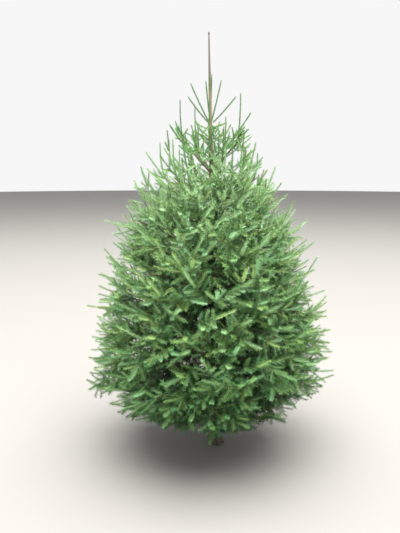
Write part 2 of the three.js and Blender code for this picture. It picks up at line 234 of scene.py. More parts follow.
def bark_material(name, stops, crack):
    """Bark whose colour runs through the stops by height, darker in the cracks between its plates."""
    material = bpy.data.materials.new(name)
    material.use_nodes = True
    nodes, link = material.node_tree.nodes, material.node_tree.links.new
    shader = nodes["Principled BSDF"]
    shader.inputs["Roughness"].default_value = BARK_ROUGHNESS
    place = nodes.new("ShaderNodeTexCoord").outputs["Object"]
    split = nodes.new("ShaderNodeSeparateXYZ")
    link(place, split.inputs["Vector"])
    share = nodes.new("ShaderNodeMath")
    share.operation = "DIVIDE"
    share.inputs[1].default_value = TREE_HEIGHT
    link(split.outputs["Z"], share.inputs[0])
    ramp = nodes.new("ShaderNodeValToRGB").color_ramp
    ramp.elements[0].position = stops[0][0] / TREE_HEIGHT
    ramp.elements[0].color = (*stops[0][1], 1)
    ramp.elements[1].position = stops[-1][0] / TREE_HEIGHT
    ramp.elements[1].color = (*stops[-1][1], 1)
    for height, colour in stops[1:-1]:
        ramp.elements.new(height / TREE_HEIGHT).color = (*colour, 1)
    by_height = nodes["Color Ramp"]
    link(share.outputs[0], by_height.inputs["Fac"])
    stretch = nodes.new("ShaderNodeMapping")
    stretch.inputs["Scale"].default_value = (1, 1, PLATE_HEIGHT_SHARE)
    link(place, stretch.inputs["Vector"])
    plates = nodes.new("ShaderNodeTexVoronoi")
    plates.inputs["Scale"].default_value = PLATE_SCALE
    link(stretch.outputs["Vector"], plates.inputs["Vector"])
    grain = nodes.new("ShaderNodeTexNoise")
    grain.inputs["Scale"].default_value = GRAIN_SCALE
    grain.inputs["Detail"].default_value = GRAIN_DETAIL
    link(stretch.outputs["Vector"], grain.inputs["Vector"])
    depth = nodes.new("ShaderNodeMath")
    depth.operation = "MULTIPLY_ADD"
    depth.inputs[1].default_value = GRAIN_SHARE
    link(grain.outputs["Fac"], depth.inputs[0])
    link(plates.outputs["Distance"], depth.inputs[2])
    strength = nodes.new("ShaderNodeMapRange")
    strength.inputs["From Min"].default_value = ROUGH_BARK_BELOW
    strength.inputs["From Max"].default_value = SMOOTH_BARK_ABOVE
    strength.inputs["To Min"].default_value = crack
    strength.inputs["To Max"].default_value = SMOOTH_BARK_SHARE * crack
    link(split.outputs["Z"], strength.inputs["Value"])
    into = nodes.new("ShaderNodeMapRange")
    into.inputs["From Min"].default_value = CRACKS_BETWEEN[0]
    into.inputs["From Max"].default_value = CRACKS_BETWEEN[1]
    link(strength.outputs["Result"], into.inputs["To Max"])
    link(depth.outputs[0], into.inputs["Value"])
    mixed = nodes.new("ShaderNodeMix")
    mixed.data_type = "RGBA"
    mixed.inputs["B"].default_value = (*CRACK_COLOUR, 1)
    link(into.outputs["Result"], mixed.inputs["Factor"])
    link(by_height.outputs["Color"], mixed.inputs["A"])
    link(mixed.outputs["Result"], shader.inputs["Base Color"])
    bump = nodes.new("ShaderNodeBump")
    bump.inputs["Distance"].default_value = BARK_BUMP_DEPTH
    bump.inputs["Strength"].default_value = BARK_BUMP_STRENGTH
    link(depth.outputs[0], bump.inputs["Height"])
    link(bump.outputs["Normal"], shader.inputs["Normal"])
    return material


TRUNK_COLOURS = (
    (0.0, (0.145, 0.115, 0.09)),
    (1.2, (0.13, 0.092, 0.07)),
    (1.8, (0.13, 0.080, 0.055)),
    (1.9, (0.27, 0.195, 0.105)),
    (2.02, (0.235, 0.185, 0.10)),
    (2.07, (0.12, 0.125, 0.06)),
    (2.14, (0.15, 0.13, 0.10)),
    (2.2, (0.175, 0.155, 0.14)),
)

bud_foot = TREE_HEIGHT - BUD_LENGTH
below_tip, bud_width = np.array(BUD_SHAPE).T
stem_heights = np.append(np.arange(0, bud_foot, TRUNK_RING_SPACING), bud_foot)
heights = np.append(stem_heights, TREE_HEIGHT - BUD_LENGTH * below_tip)
bud = np.append(np.ones(len(stem_heights)), bud_width)
around = np.linspace(0, 2 * math.pi, TRUNK_SIDES, endpoint=False)
flare = ROOT_FLARE * np.exp(-heights / ROOT_FLARE_HEIGHT)
outline = (trunk_radius(heights) * bud)[:, None]
lobes = flare[:, None] * (1 + ROOT_LOBE * np.cos(ROOT_COUNT * around)[None, :])
fade = np.clip(1 - heights / BARK_FADES_BY, LEAST_BARK, 1)[:, None]
relief = BARK_RELIEF * fade * (bark_scales(around[None, :], heights[:, None], BARK_SEED) - BARK_LEVEL)
radius = outline + lobes + relief * np.minimum(1, outline / FULL_BARK_RADIUS)
ring = trunk_middle(heights)[:, None, :]
places = ring + np.stack(
    [radius * np.cos(around), radius * np.sin(around), np.zeros_like(radius)], axis=-1
)
trunk = mesh_piece(
    "trunk_bark",
    places.reshape(-1, 3),
    ring_faces(len(heights), TRUNK_SIDES),
    [bark_material("trunk bark", TRUNK_COLOURS, TRUNK_CRACKS)],
    smooth=True,
)
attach(trunk, "root")
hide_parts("trunk")


# Boughs. Five tapering limbs leave the trunk at each whorl and rise more steeply towards the top.
# They have thin brown bark, paler higher up, roughened by the pegs that old needles leave.
CROWN_RADIUS = 0.7
CROWN_WIDEST_AT = 0.6
CROWN_FOOT = 0.168
CROWN_TOP = 2.18
CROWN_BELLY = 0.14
BELLY_POWER = 1.5
LEAST_CROWN_RADIUS = 0.03
CROWN_LOPSIDED = 0.05
REACH_VARIES = 0.05
BOUGHS_IN_WHORL = 5
WHORL_TURN = 36
FIRST_BOUGH_AT = 14
LOWEST_RISE = 3
HIGHEST_RISE = 46
RISE_POWER = 1.4
BOUGH_ARCH = 0.05
THINNEST_ROOT_RADIUS = 0.0025
THICKEST_ROOT_RADIUS = 0.01
ROOT_RADIUS_PER_REACH = 0.0145
BOUGH_TIP_SHARE = 0.2
BOUGH_SIDES = 12
BOUGH_RINGS = 44
BOUGH_SHOWN_SHARE = 0.82
PEG_RELIEF = 0.09
PEG_SEED = 40
BOUGH_COLOURS = ((0.0, (0.14, 0.11, 0.078)), (2.0, (0.24, 0.18, 0.105)))
BOUGH_CRACKS = 0.5
REACH_ROUNDS = 30
DICE_START = 2654435761
DICE_FACTOR = 1664525
DICE_ADDS = 1013904223
DICE_THROWN_FIRST = 3
STEEP = 0.8


class Dice:
    """Seeded draws, the same ones that shape the limbs' solids."""

    def __init__(self, seed):
        self.state = (seed * DICE_START) % 2**32
        for _ in range(DICE_THROWN_FIRST):
            self.next()

    def next(self):
        self.state = (self.state * DICE_FACTOR + DICE_ADDS) % 2**32
        return self.state / 2**32

    def spread(self, amount):
        return (2 * self.next() - 1) * amount


def crown_radius(z, angle):
    """How far the crown reaches from the trunk's middle, a little further to the left."""
    z = np.asarray(z, float)
    under = (CROWN_WIDEST_AT - z) / (CROWN_WIDEST_AT - CROWN_FOOT)
    over = (z - CROWN_WIDEST_AT) / (CROWN_TOP - CROWN_WIDEST_AT)
    dome = CROWN_RADIUS * np.sqrt(np.clip(1 - under**2, 0, None))
    belly = CROWN_BELLY * np.clip(np.sin(math.pi * over), 0, None) ** BELLY_POWER
    even = np.where(z < CROWN_WIDEST_AT, dome, CROWN_RADIUS * (1 - over) + belly)
    return np.maximum(LEAST_CROWN_RADIUS, even) * (1 - CROWN_LOPSIDED * np.cos(angle))


def round_trunk(radius, angle, z):
    """A place at a radius and an angle round the trunk's middle."""
    flat = np.stack([radius * np.cos(angle), radius * np.sin(angle), 0 * radius * angle], axis=-1)
    return trunk_middle(z) + flat


class Whorl:
    """A year's boughs: the height that they leave the trunk at, their reach and their line."""

    def __init__(self, index):
        self.index = index
        self.height = WHORL_HEIGHTS[index]
        share = index / (len(WHORL_HEIGHTS) - 1)
        rise = LOWEST_RISE + (HIGHEST_RISE - LOWEST_RISE) * share**RISE_POWER
        self.slope = math.tan(math.radians(rise))
        self.reach = CROWN_RADIUS / 2
        for _ in range(REACH_ROUNDS):
            outline = float(crown_radius(self.height + self.slope * self.reach, math.pi / 2))
            self.reach = (self.reach + outline) / 2

    def level(self, radius):
        arch = np.sin(math.pi * np.minimum(1, np.asarray(radius) / self.reach))
        return self.height + self.slope * np.asarray(radius) + BOUGH_ARCH * self.reach * arch


class Bough:
    """One limb of a whorl, and the shoots that grow from it."""

    def __init__(self, whorl, number):
        draws = Dice(whorl.index * BOUGHS_IN_WHORL + number)
        turn = FIRST_BOUGH_AT + WHORL_TURN * whorl.index + 360 / BOUGHS_IN_WHORL * (number - 1)
        self.whorl = whorl
        self.number = number
        self.angle = math.radians(turn)
        lopsided = 1 - CROWN_LOPSIDED * math.cos(self.angle)
        self.reach = whorl.reach * lopsided * (1 + draws.spread(REACH_VARIES))
        full = THINNEST_ROOT_RADIUS + self.reach * ROOT_RADIUS_PER_REACH
        self.root_radius = min(THICKEST_ROOT_RADIUS, full)

    def line(self, share):
        radius = self.reach * np.asarray(share, float)
        level = self.whorl.level(radius * self.whorl.reach / self.reach)
        return round_trunk(radius, self.angle, level)

    def radius_at(self, share):
        return self.root_radius * (1 - (1 - BOUGH_TIP_SHARE) * np.asarray(share, float))


def unit(vectors):
    return vectors / np.maximum(np.linalg.norm(vectors, axis=-1, keepdims=True), 1e-9)


def tubes(lines, radii, sides, relief=None):
    """Places and quads of round tubes along lines, an array of tube, ring, xyz."""
    count, rings = lines.shape[:2]
    along = unit(np.gradient(lines, axis=1))
    overall = unit(lines[:, -1] - lines[:, 0])
    away = np.where(np.abs(overall[:, 2:]) < STEEP, [[0.0, 0.0, 1.0]], [[1.0, 0.0, 0.0]])
    side = unit(np.cross(along, away[:, None, :]))
    over = np.cross(side, along)
    around = np.linspace(0, 2 * math.pi, sides, endpoint=False)[None, None, :, None]
    size = radii[:, :, None, None] * (1 if relief is None else relief[..., None])
    out = side[:, :, None] * np.cos(around) + over[:, :, None] * np.sin(around)
    places = (lines[:, :, None] + out * size).reshape(-1, 3)
    one = ring_faces(rings, sides)
    faces = (one[None] + (np.arange(count) * rings * sides)[:, None, None]).reshape(-1, 4)
    return places, faces


whorls = [Whorl(index) for index in range(len(WHORL_HEIGHTS))]
boughs = [Bough(whorl, number + 1) for whorl in whorls for number in range(BOUGHS_IN_WHORL)]
bough_bark = bark_material("bough bark", BOUGH_COLOURS, BOUGH_CRACKS)
for whorl in whorls:
    own = [bough for bough in boughs if bough.whorl is whorl]
    shares = np.linspace(0, BOUGH_SHOWN_SHARE, BOUGH_RINGS)
    lines = np.stack([bough.line(shares) for bough in own])
    radii = np.stack([bough.radius_at(shares) for bough in own])
    draws = np.random.default_rng(PEG_SEED + whorl.index)
    relief = 1 + PEG_RELIEF * draws.uniform(-1, 1, (len(own), BOUGH_RINGS, BOUGH_SIDES))
    places, faces = tubes(lines, radii, BOUGH_SIDES, relief)
    limbs = mesh_piece(f"boughs_{whorl.index + 1}", places, faces, [bough_bark], smooth=True)
    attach(limbs, "root")
    bare = [f"bough_{whorl.index + 1}_{bough.number}" for bough in own]
    if bare[0] in frame["nodes"]:
        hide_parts(*bare)


# Sprays. Each is a spine with side shoots in pairs and a leading shoot, a long one on some. They point
# outwards, steeper and fewer towards the top, and an older branch joins each to its bough. Single
# shoots stand upright on the two highest whorls, and short ones grow on the upper trunk.
OUTER_SPRAYS = 570
OUTER_DEPTH = (-0.07, 0.05)
OUTER_TURN = 23
OUTER_SEED = 29
INNER_SPRAYS = 860
INNER_DEPTH = (0.12, 0.75)
INNER_TURN = 50
INNER_SEED = 30
SPRAY_SEED = 11
MOST_TURN = 65
SHALLOW_POWER = 1.7
CROWN_STEPS = 2000
FIRST_ABOVE_FOOT = 0.002
LEAST_ABOVE_FOOT = 0.01
TIP_HEIGHT_VARIES = 0.012
TIP_ANGLE_VARIES = 0.05
INNER_RISE_VARIES = 25
KEPT_BY_HEIGHT = ((0.18, 0.2), (0.27, 0.9), (0.4, 1), (1.56, 1), (1.7, 0.75), (1.86, 0.2), (1.89, 0))
INNER_KEPT_BY_HEIGHT = ((1.35, 1), (1.6, 0.35))
LOBE_DEPTH = 0.075
LOBE_WIDTH = 0.30
LOBE_HEIGHT = 0.13
NARROWER_LOW_DOWN = ((0.18, 0.68), (0.3, 0.89), (0.42, 0.98), (0.5, 1))
NARROWER_HIGH_UP = ((0.8, 0.99), (1.1, 0.97), (1.4, 0.91), (1.6, 0.89), (1.8, 0.92))
NARROWER_BY_HEIGHT = NARROWER_LOW_DOWN + NARROWER_HIGH_UP
LOPSIDED_BY_HEIGHT = ((0.22, 0), (0.3, 0.11), (0.4, 0.08), (0.52, 0))
BOUGH_END_SHARE = 0.97
LOWEST_TIP = 0.15
LEAST_ROOM = 0.1
SPRAYS_OUTSIDE = 0.008
SHOOTS_OUTSIDE = 0.030
RISE_BY_HEIGHT = ((0.15, -24), (0.32, -12), (0.55, 2), (0.9, 16), (1.2, 28), (1.5, 43), (1.8, 60))
SPINE_BY_HEIGHT = ((0.15, 0.18), (0.4, 0.22), (1.2, 0.22), (1.6, 0.20), (1.9, 0.15), (2.1, 0.11))
SPINE_VARIES = (0.8, 1.15)
LONGEST_SPINE_SHARE = 0.8
LEAST_FLAT_SHARE = 0.3
HEEL_SAG = 0.05
LIMB_SAMPLES = 20
SPINE_SAG = 0.06
RISE_VARIES = 13
STEEPEST_FALL = -30
ROLL_VARIES = 38
LEAD_FROM = 0.58
LONG_SHARE_BY_HEIGHT = ((0.4, 0), (0.6, 0.1), (0.9, 0.28), (1.5, 0.32), (1.8, 0.15))
LONG_SHOOT_ADDS = (0.035, 0.075)
LONG_LEAD_FROM = 0.45
PAIR_SPACING = 0.045
HIGH_SPACING = ((1.45, 1), (1.7, 2.1), (1.9, 3))
FIRST_PAIR_BACK = 0.02
LAST_PAIR_AT = 0.04
PAIR_SLIPS = 0.25
SIDE_ANGLE = 44
SIDE_ANGLE_VARIES = 9
SIDE_SHARE_OF_REST = 0.3
SHORTEST_SIDE = 0.045
SIDE_VARIES = (0.65, 1.15)
OVER_SHOOT_SHARE = 0.7
SIDE_RISE = 0.03
SIDE_SAG = 0.05
DROOP_BY_HEIGHT = ((0.4, 0.40), (1.2, 0.18))
DROOP_VARIES = (0, 2)
OVER_SHOOT_CHANCE = 0.65
UNDER_SHARE = 0.35
TOP_SIDES_AT = (0.25, 0.6)
TOP_AHEAD_STEP = 0.05
TOP_SIDE_ANGLE = 38
TOP_SIDE_LIFT = 0.35
TOP_SIDE_LENGTH = 0.20
TOP_SIDE_VARIES = (0.8, 1.2)
TOP_PLACE_VARIES = 0.03
TOP_END_SHARE = 0.85
TOP_END_RISE = 0.07
HIGHEST_UPRIGHTS = ((0.3, 0.17), (0.6, 0.22))
LOWER_UPRIGHTS = ((0.42, 0.24), (0.68, 0.20))
NEEDLED_LIMB_AT = (0.1, 0.5, 0.85)
UPRIGHT_OUT = 0.12
UPRIGHT_BEND_OUT = 0.7
UPRIGHT_BEND_UP = 0.3
UPRIGHT_VARIES = (0.7, 1.2)
UPRIGHT_PLACE_VARIES = 0.04
TRUNK_SHOOTS = 26
TRUNK_SHOOTS_FROM = 1.38
TRUNK_SHOOTS_TO = 1.86
TRUNK_SHOOT_RISE = (20, 60)
TRUNK_SHOOT_LENGTH = 0.085
TRUNK_SHOOT_VARIES = (0.6, 1.2)
UNDER_BARK_SHARE = 0.8
GOLDEN_TURN = math.pi * (3 - math.sqrt(5))
STEM_NODES = 26
TRUNK_NODES = 6
BETWEEN_WHORLS = (-0.04, 0.14)
SHOOT_NODES = 6
STEM_SHARES = (0.12, 0.9)
NODE_SHARES = (0.1, 0.9)
TURNING_BACK = 1.5
LEAST_AHEAD = 0.3
NEAR_REACH = 0.02
LEAST_REACH = 0.001
BRANCH_BEND = 0.45


class Shoot:
    """One twig: a curve through three points, and how many tips it feeds."""

    def __init__(self, kind, points, parent, node, inner=False):
        self.kind = kind
        self.inner = inner
        self.points = np.array(points)
        self.parent = parent
        self.node = node
        self.tips = np.ones(SHOOT_NODES)
        self.length = float(np.linalg.norm(np.diff(self.points, axis=0), axis=1).sum())

    def at(self, share):
        share = np.atleast_1d(share)[:, None]
        root, bend, tip = self.points
        return (1 - share) ** 2 * root + 2 * share * (1 - share) * bend + share**2 * tip


def crown_tips(count, shallow, deep, seed):
    """Places spread evenly over the crown, from shallow to deep shares of its radius inside it."""
    draws = np.random.default_rng(seed)
    heights = np.linspace(CROWN_FOOT + FIRST_ABOVE_FOOT, CROWN_TOP, CROWN_STEPS)
    radii = crown_radius(heights, math.pi / 2)
    area = np.hypot(np.gradient(heights), np.gradient(radii)) * radii
    share = (np.arange(count) + 0.5) / count
    z = np.interp(share, np.cumsum(area) / area.sum(), heights)
    z = z + draws.normal(0, TIP_HEIGHT_VARIES, count)
    z = np.maximum(z, CROWN_FOOT + LEAST_ABOVE_FOOT)
    angle = np.arange(count) * GOLDEN_TURN + draws.normal(0, TIP_ANGLE_VARIES, count)
    depth = shallow + (deep - shallow) * draws.random(count) ** SHALLOW_POWER
    radius = crown_radius(z, angle) * (1 - depth) * np.interp(z, *zip(*NARROWER_BY_HEIGHT))
    radius *= 1 - np.interp(z, *zip(*LOPSIDED_BY_HEIGHT)) * np.cos(angle)
    return radius, angle % (2 * math.pi), z


def drawn_in(root, tip, outside):
    """The tip, drawn back to its root where it would stand further outside the solids' box."""
    step = tip - root
    room = np.where(step > 0, cad_box[1] + outside - root, root - cad_box[0] + outside)
    room = room / np.maximum(np.abs(step), 1e-6)
    return root + step * min(1, max(room[0], LEAST_ROOM), max(room[1], LEAST_ROOM))


def bough_for(radius, angle, z):
    """The bough whose space a tip is in, and how far the tip is from that space's middle, 0 to 1."""
    levels = np.array([whorl.level(min(radius, whorl.reach)) for whorl in whorls])
    layer = int(np.argmin(np.abs(levels - z)))
    own = boughs[layer * BOUGHS_IN_WHORL : (layer + 1) * BOUGHS_IN_WHORL]
    turns = [abs((bough.angle - angle + math.pi) % (2 * math.pi) - math.pi) for bough in own]
    nearest = int(np.argmin(turns))
    apart = math.hypot(turns[nearest] * radius / LOBE_WIDTH, (levels[layer] - z) / LOBE_HEIGHT)
    return own[nearest], min(apart, 1)


class Spray:
    """A spine with its side shoots, told by its tip and the way that it points."""

    def __init__(self, bough, tip, way, length, inner, roll, lead_from=LEAD_FROM):
        self.bough = bough
        self.lead_from = lead_from
        self.tip = tip
        self.way = way
        self.length = length
        self.inner = inner
        self.roll = math.radians(roll)
        self.heel = tip - way * length
        self.heel[2] -= HEEL_SAG * length
        line = bough.line(np.linspace(0, 1, LIMB_SAMPLES))
        self.away = np.linalg.norm(line - self.heel, axis=1).min()


def crown_spray(bough, radius, angle, z, turn_varies, inner, draws):
    """A spray whose tip is at a place in the crown, pointing outwards and up as its height asks."""
    rise = np.interp(z, *zip(*RISE_BY_HEIGHT))
    rise += draws.normal(0, INNER_RISE_VARIES if inner else RISE_VARIES)
    rise = math.radians(max(rise, STEEPEST_FALL))
    turn = angle + math.radians(np.clip(draws.normal(0, turn_varies), -MOST_TURN, MOST_TURN))
    flat = math.cos(rise)
    way = np.array([math.cos(turn) * flat, math.sin(turn) * flat, math.sin(rise)])
    length = np.interp(z, *zip(*SPINE_BY_HEIGHT)) * draws.uniform(*SPINE_VARIES)
    length = min(length, LONGEST_SPINE_SHARE * radius / max(flat, LEAST_FLAT_SHARE))
    place = round_trunk(radius, angle, z)
    lead_from = LEAD_FROM
    if not inner and draws.random() < np.interp(z, *zip(*LONG_SHARE_BY_HEIGHT)):
        more = draws.uniform(*LONG_SHOOT_ADDS)
        place = place + way * more
        length += more
        lead_from = LONG_LEAD_FROM
    tip = drawn_in(trunk_middle(z), place, SPRAYS_OUTSIDE)
    return Spray(bough, tip, way, length, inner, draws.normal(0, ROLL_VARIES), lead_from)


def side_spray(bough, share, hand, draws):
    """A spray that leaves its bough at a share of its length, to one side of it."""
    root = bough.line(share)
    ahead = unit(bough.line(share + TOP_AHEAD_STEP) - root)
    lean = math.radians(TOP_SIDE_ANGLE + draws.normal(0, SIDE_ANGLE_VARIES))
    out = unit(np.cross(ahead, [0, 0, 1])) * hand
    way = unit(ahead * math.cos(lean) + out * math.sin(lean) + np.array([0, 0, TOP_SIDE_LIFT]))
    length = TOP_SIDE_LENGTH * (1 - share / 2) * draws.uniform(*TOP_SIDE_VARIES)
    return Spray(bough, root + way * length, way, length, False, draws.normal(0, ROLL_VARIES))


class Wood:
    """A bough's own tree of twigs, and the places on it that new ones can grow from."""

    def __init__(self, bough):
        limb = bough.line(np.linspace(*STEM_SHARES, STEM_NODES))
        heights = bough.whorl.height + np.linspace(*BETWEEN_WHORLS, TRUNK_NODES)
        stem = round_trunk(UNDER_BARK_SHARE * trunk_radius(heights), bough.angle, heights)
        self.places = np.vstack([limb, stem])
        ways = unit(np.gradient(limb, axis=0))
        self.ways = np.vstack([ways, np.tile(ways[0], (TRUNK_NODES, 1))])
        self.owners = np.full((len(self.places), 2), -1)
        self.shoots = []

    def add(self, kind, points, parent, node, inner, forks=False):
        shoot = Shoot(kind, points, parent, node, inner)
        if forks:
            places = shoot.at(np.linspace(*NODE_SHARES, SHOOT_NODES))
            self.places = np.vstack([self.places, places])
            self.ways = np.vstack([self.ways, unit(np.gradient(places, axis=0))])
            own = np.stack([np.full(SHOOT_NODES, len(self.shoots)), np.arange(SHOOT_NODES)], axis=1)
            self.owners = np.vstack([self.owners, own])
        self.shoots.append(shoot)
        return len(self.shoots) - 1

    def join(self, spray):
        """Grows a branch from the best place behind the spray's heel, and returns its number."""
        apart = spray.heel - self.places
        distance = np.maximum(np.linalg.norm(apart, axis=1), LEAST_REACH)
        direction = apart / distance[:, None]
        cost = (distance + NEAR_REACH) * (1 + TURNING_BACK * (1 - direction @ spray.way))
        ahead = (direction * self.ways).sum(axis=1)
        cost += distance * TURNING_BACK * np.clip(LEAST_AHEAD - ahead, 0, None)
        best = int(np.argmin(cost))
        root, reach = self.places[best], distance[best]
        leaves = root + BRANCH_BEND * reach * self.ways[best]
        bend = (leaves + spray.heel - BRANCH_BEND * reach * spray.way) / 2
        parent, node = self.owners[best]
        return self.add("branch", [root, bend, spray.heel], parent, node, spray.inner, True)

    def grow(self, spray, draws):
        """Grows a spray's branch, spine, leading shoot and side shoots."""
        branch = self.join(spray)
        middle = (spray.heel + spray.tip) / 2 - np.array([0, 0, SPINE_SAG * spray.length])
        before = spray.heel + spray.lead_from * (middle - spray.heel)
        after = middle + spray.lead_from * (spray.tip - middle)
        fork = before + spray.lead_from * (after - before)
        last = SHOOT_NODES - 1
        spine = self.add("spine", [spray.heel, before, fork], branch, last, spray.inner, True)
        self.add("lead", [fork, after, spray.tip], spine, last, spray.inner)
        up = np.array([0.0, 0.0, 1.0])
        side = unit(np.cross(spray.way, up))
        over = np.cross(side, spray.way)
        side, over = (
            side * math.cos(spray.roll) + over * math.sin(spray.roll),
            over * math.cos(spray.roll) - side * math.sin(spray.roll),
        )
        spacing = PAIR_SPACING * np.interp(spray.tip[2], *zip(*HIGH_SPACING)) / spray.length
        droop = np.interp(spray.tip[2], *zip(*DROOP_BY_HEIGHT))
        for share in np.arange(spray.lead_from - FIRST_PAIR_BACK, LAST_PAIR_AT, -spacing):
            for hand in (-1, 1, 0):
                if hand == 0 and draws.random() > OVER_SHOOT_CHANCE:
                    continue
                place = share - draws.uniform(0, PAIR_SLIPS) * spacing
                root = self.shoots[spine].at(place / spray.lead_from)[0]
                lean = math.radians(SIDE_ANGLE + draws.normal(0, SIDE_ANGLE_VARIES))
                out = side * hand - over * droop * draws.uniform(*DROOP_VARIES)
                if hand == 0:
                    out = -over if draws.random() < UNDER_SHARE else over
                way = unit(spray.way * math.cos(lean) + out * math.sin(lean))
                reach = SHORTEST_SIDE + SIDE_SHARE_OF_REST * spray.length * (1 - place)
                reach *= draws.uniform(*SIDE_VARIES) * (OVER_SHOOT_SHARE if hand == 0 else 1)
                tip = drawn_in(root, root + way * reach + up * SIDE_RISE * reach, SHOOTS_OUTSIDE)
                bend = (root + tip) / 2 - up * SIDE_SAG * reach
                node = int(place / spray.lead_from * last)
                self.add("side", [root, bend, tip], spine, node, spray.inner)

    def feed(self):
        """Counts the tips beyond each node of each shoot, which set how thick it is."""
        for shoot in reversed(self.shoots):
            if shoot.parent >= 0:
                self.shoots[shoot.parent].tips[: shoot.node + 1] += shoot.tips[0]


woods = {bough: Wood(bough) for bough in boughs}
draws = np.random.default_rng(SPRAY_SEED)
sprays = []
for bough in boughs:
    share = TOP_END_SHARE if bough.whorl is whorls[-1] else BOUGH_END_SHARE
    z = float(bough.line(share)[2]) + TOP_END_RISE * (bough.whorl is whorls[-1])
    sprays.append(crown_spray(bough, share * bough.reach, bough.angle, z, 0, False, draws))
for bough in boughs[-BOUGHS_IN_WHORL:]:
    for share in TOP_SIDES_AT:
        for hand in (-1, 1):
            place = share + draws.normal(0, TOP_PLACE_VARIES)
            sprays.append(side_spray(bough, place, hand, draws))
outer = (OUTER_SPRAYS, OUTER_DEPTH, OUTER_SEED, OUTER_TURN, False)
inner = (INNER_SPRAYS, INNER_DEPTH, INNER_SEED, INNER_TURN, True)
for count, depths, seed, turn_varies, inside in (outer, inner):
    for radius, angle, z in zip(*crown_tips(count, *depths, seed)):
        kept = np.interp(z, *zip(*KEPT_BY_HEIGHT))
        if inside:
            kept *= np.interp(z, *zip(*INNER_KEPT_BY_HEIGHT))
        if z > LOWEST_TIP and draws.random() < kept:
            bough, apart = bough_for(radius, angle, z)
            radius *= 1 + LOBE_DEPTH * (0.5 - apart)
            sprays.append(crown_spray(bough, radius, angle, z, turn_varies, inside, draws))
for spray in sorted(sprays, key=lambda spray: spray.away):
    woods[spray.bough].grow(spray, draws)
for bough in boughs[-2 * BOUGHS_IN_WHORL :]:
    wood = woods[bough]
    highest = bough.whorl is whorls[-1]
    if highest:
        wood.add("limb", bough.line(NEEDLED_LIMB_AT), -1, 0, False)
    for share, length in HIGHEST_UPRIGHTS if highest else LOWER_UPRIGHTS:
        root = bough.line(share + draws.normal(0, UPRIGHT_PLACE_VARIES))
        out = (root - trunk_middle(root[2])) * UPRIGHT_OUT
        tip = root + out + np.array([0, 0, length * draws.uniform(*UPRIGHT_VARIES)])
        bend = root + UPRIGHT_BEND_OUT * out + (tip - root) * UPRIGHT_BEND_UP
        wood.add("lead", [root, bend, tip], -1, 0, False)
for number in range(TRUNK_SHOOTS):
    z = TRUNK_SHOOTS_FROM + (TRUNK_SHOOTS_TO - TRUNK_SHOOTS_FROM) * number / TRUNK_SHOOTS
    angle = number * GOLDEN_TURN
    rise = math.radians(draws.uniform(*TRUNK_SHOOT_RISE))
    length = TRUNK_SHOOT_LENGTH * draws.uniform(*TRUNK_SHOOT_VARIES)
    root = round_trunk(UNDER_BARK_SHARE * trunk_radius(z), angle, z)
    flat = math.cos(rise)
    way = np.array([math.cos(angle) * flat, math.sin(angle) * flat, math.sin(rise)])
    bend = root + way * length / 2 - np.array([0, 0, SIDE_SAG * length])
    tip = root + way * length
    woods[boughs[-1]].add("side", [root, bend, tip], -1, 0, False)
for wood in woods.values():
    wood.feed()


# Twig wood. Slender tapering twigs, olive-tan where this year's and dark brown where older, the older
# ones painted darker still for the shade they stand in. The outer young ones end in a small pointed
# bud with red-brown scales.
TWIG_RADIUS = 0.0011
TWIG_POWER = 0.42
TWIG_TIP_SHARE = 0.7
TWIG_SIDES = 3
OLD_RINGS = 5
YOUNG_RINGS = 3
HIDDEN_RINGS = 2
BUD_RADIUS = 0.0019
BUD_RINGS = ((0.25, 1), (1, 0.1))
BUD_LENGTH_OUT = 0.006
YOUNG_TWIG_COLOUR = (0.30, 0.25, 0.10)
YOUNG_TWIG_ROUGHNESS = 0.6
# The dark brown of older wood, darkened further as painted shade.
OLD_AND_SHADED_TWIG_COLOUR = (0.050, 0.045, 0.027)
OLD_TWIG_ROUGHNESS = 0.75
BUD_COLOUR = (0.22, 0.10, 0.045)
BUD_ROUGHNESS = 0.5

young_twig = plain_material("young twig", YOUNG_TWIG_COLOUR, YOUNG_TWIG_ROUGHNESS)
old_twig = plain_material("old twig in painted shade", OLD_AND_SHADED_TWIG_COLOUR, OLD_TWIG_ROUGHNESS)
bud_scales = plain_material("bud scales", BUD_COLOUR, BUD_ROUGHNESS)
twig_materials = [young_twig, old_twig, bud_scales]
YOUNG, OLD, BUD = range(len(twig_materials))


def twig_piece(name, shoots):
    """The wood of some shoots: older twigs, young outer ones with buds, and young inner ones."""
    old = [shoot for shoot in shoots if shoot.kind in ("branch", "spine")]
    young = [shoot for shoot in shoots if shoot.kind in ("side", "lead")]
    hidden = [shoot for shoot in young if shoot.inner]
    shown = [shoot for shoot in young if not shoot.inner]
    places, faces, tints = [], [], []
    first = 0
    for group, rings in ((old, OLD_RINGS), (shown, YOUNG_RINGS), (hidden, HIDDEN_RINGS)):
        if not group:
            continue
        shares = np.linspace(0, 1, rings)
        nodes = np.linspace(*NODE_SHARES, SHOOT_NODES)
        lines = np.stack([shoot.at(shares) for shoot in group])
        fed = np.stack([np.interp(shares, nodes, shoot.tips) for shoot in group])
        radii = TWIG_RADIUS * fed**TWIG_POWER * (1 - (1 - TWIG_TIP_SHARE) * shares)
        tint = np.full(rings - 1, OLD if group is old else YOUNG)
        if group is shown:
            tips, ways = lines[:, -1:], unit(lines[:, -1:] - lines[:, -2:-1])
            for out, width in BUD_RINGS:
                lines = np.concatenate([lines, tips + ways * out * BUD_LENGTH_OUT], axis=1)
                radii = np.hstack([radii, np.full((len(group), 1), BUD_RADIUS * width)])
            tint = np.append(tint, [BUD] * len(BUD_RINGS))
        own_places, own_faces = tubes(lines, radii, TWIG_SIDES)
        places.append(own_places)
        faces.append(own_faces + first)
        tints.append(np.tile(tint.repeat(TWIG_SIDES), len(group)))
        first += len(own_places)
    places, faces, tints = np.vstack(places), np.vstack(faces), np.hstack(tints)
    piece = mesh_piece(name, places, faces, twig_materials, tints, smooth=True)
    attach(piece, "root")


for whorl in whorls:
    own = [shoot for bough in boughs if bough.whorl is whorl for shoot in woods[bough].shoots]
    twig_piece(f"twigs_{whorl.index + 1}", own)
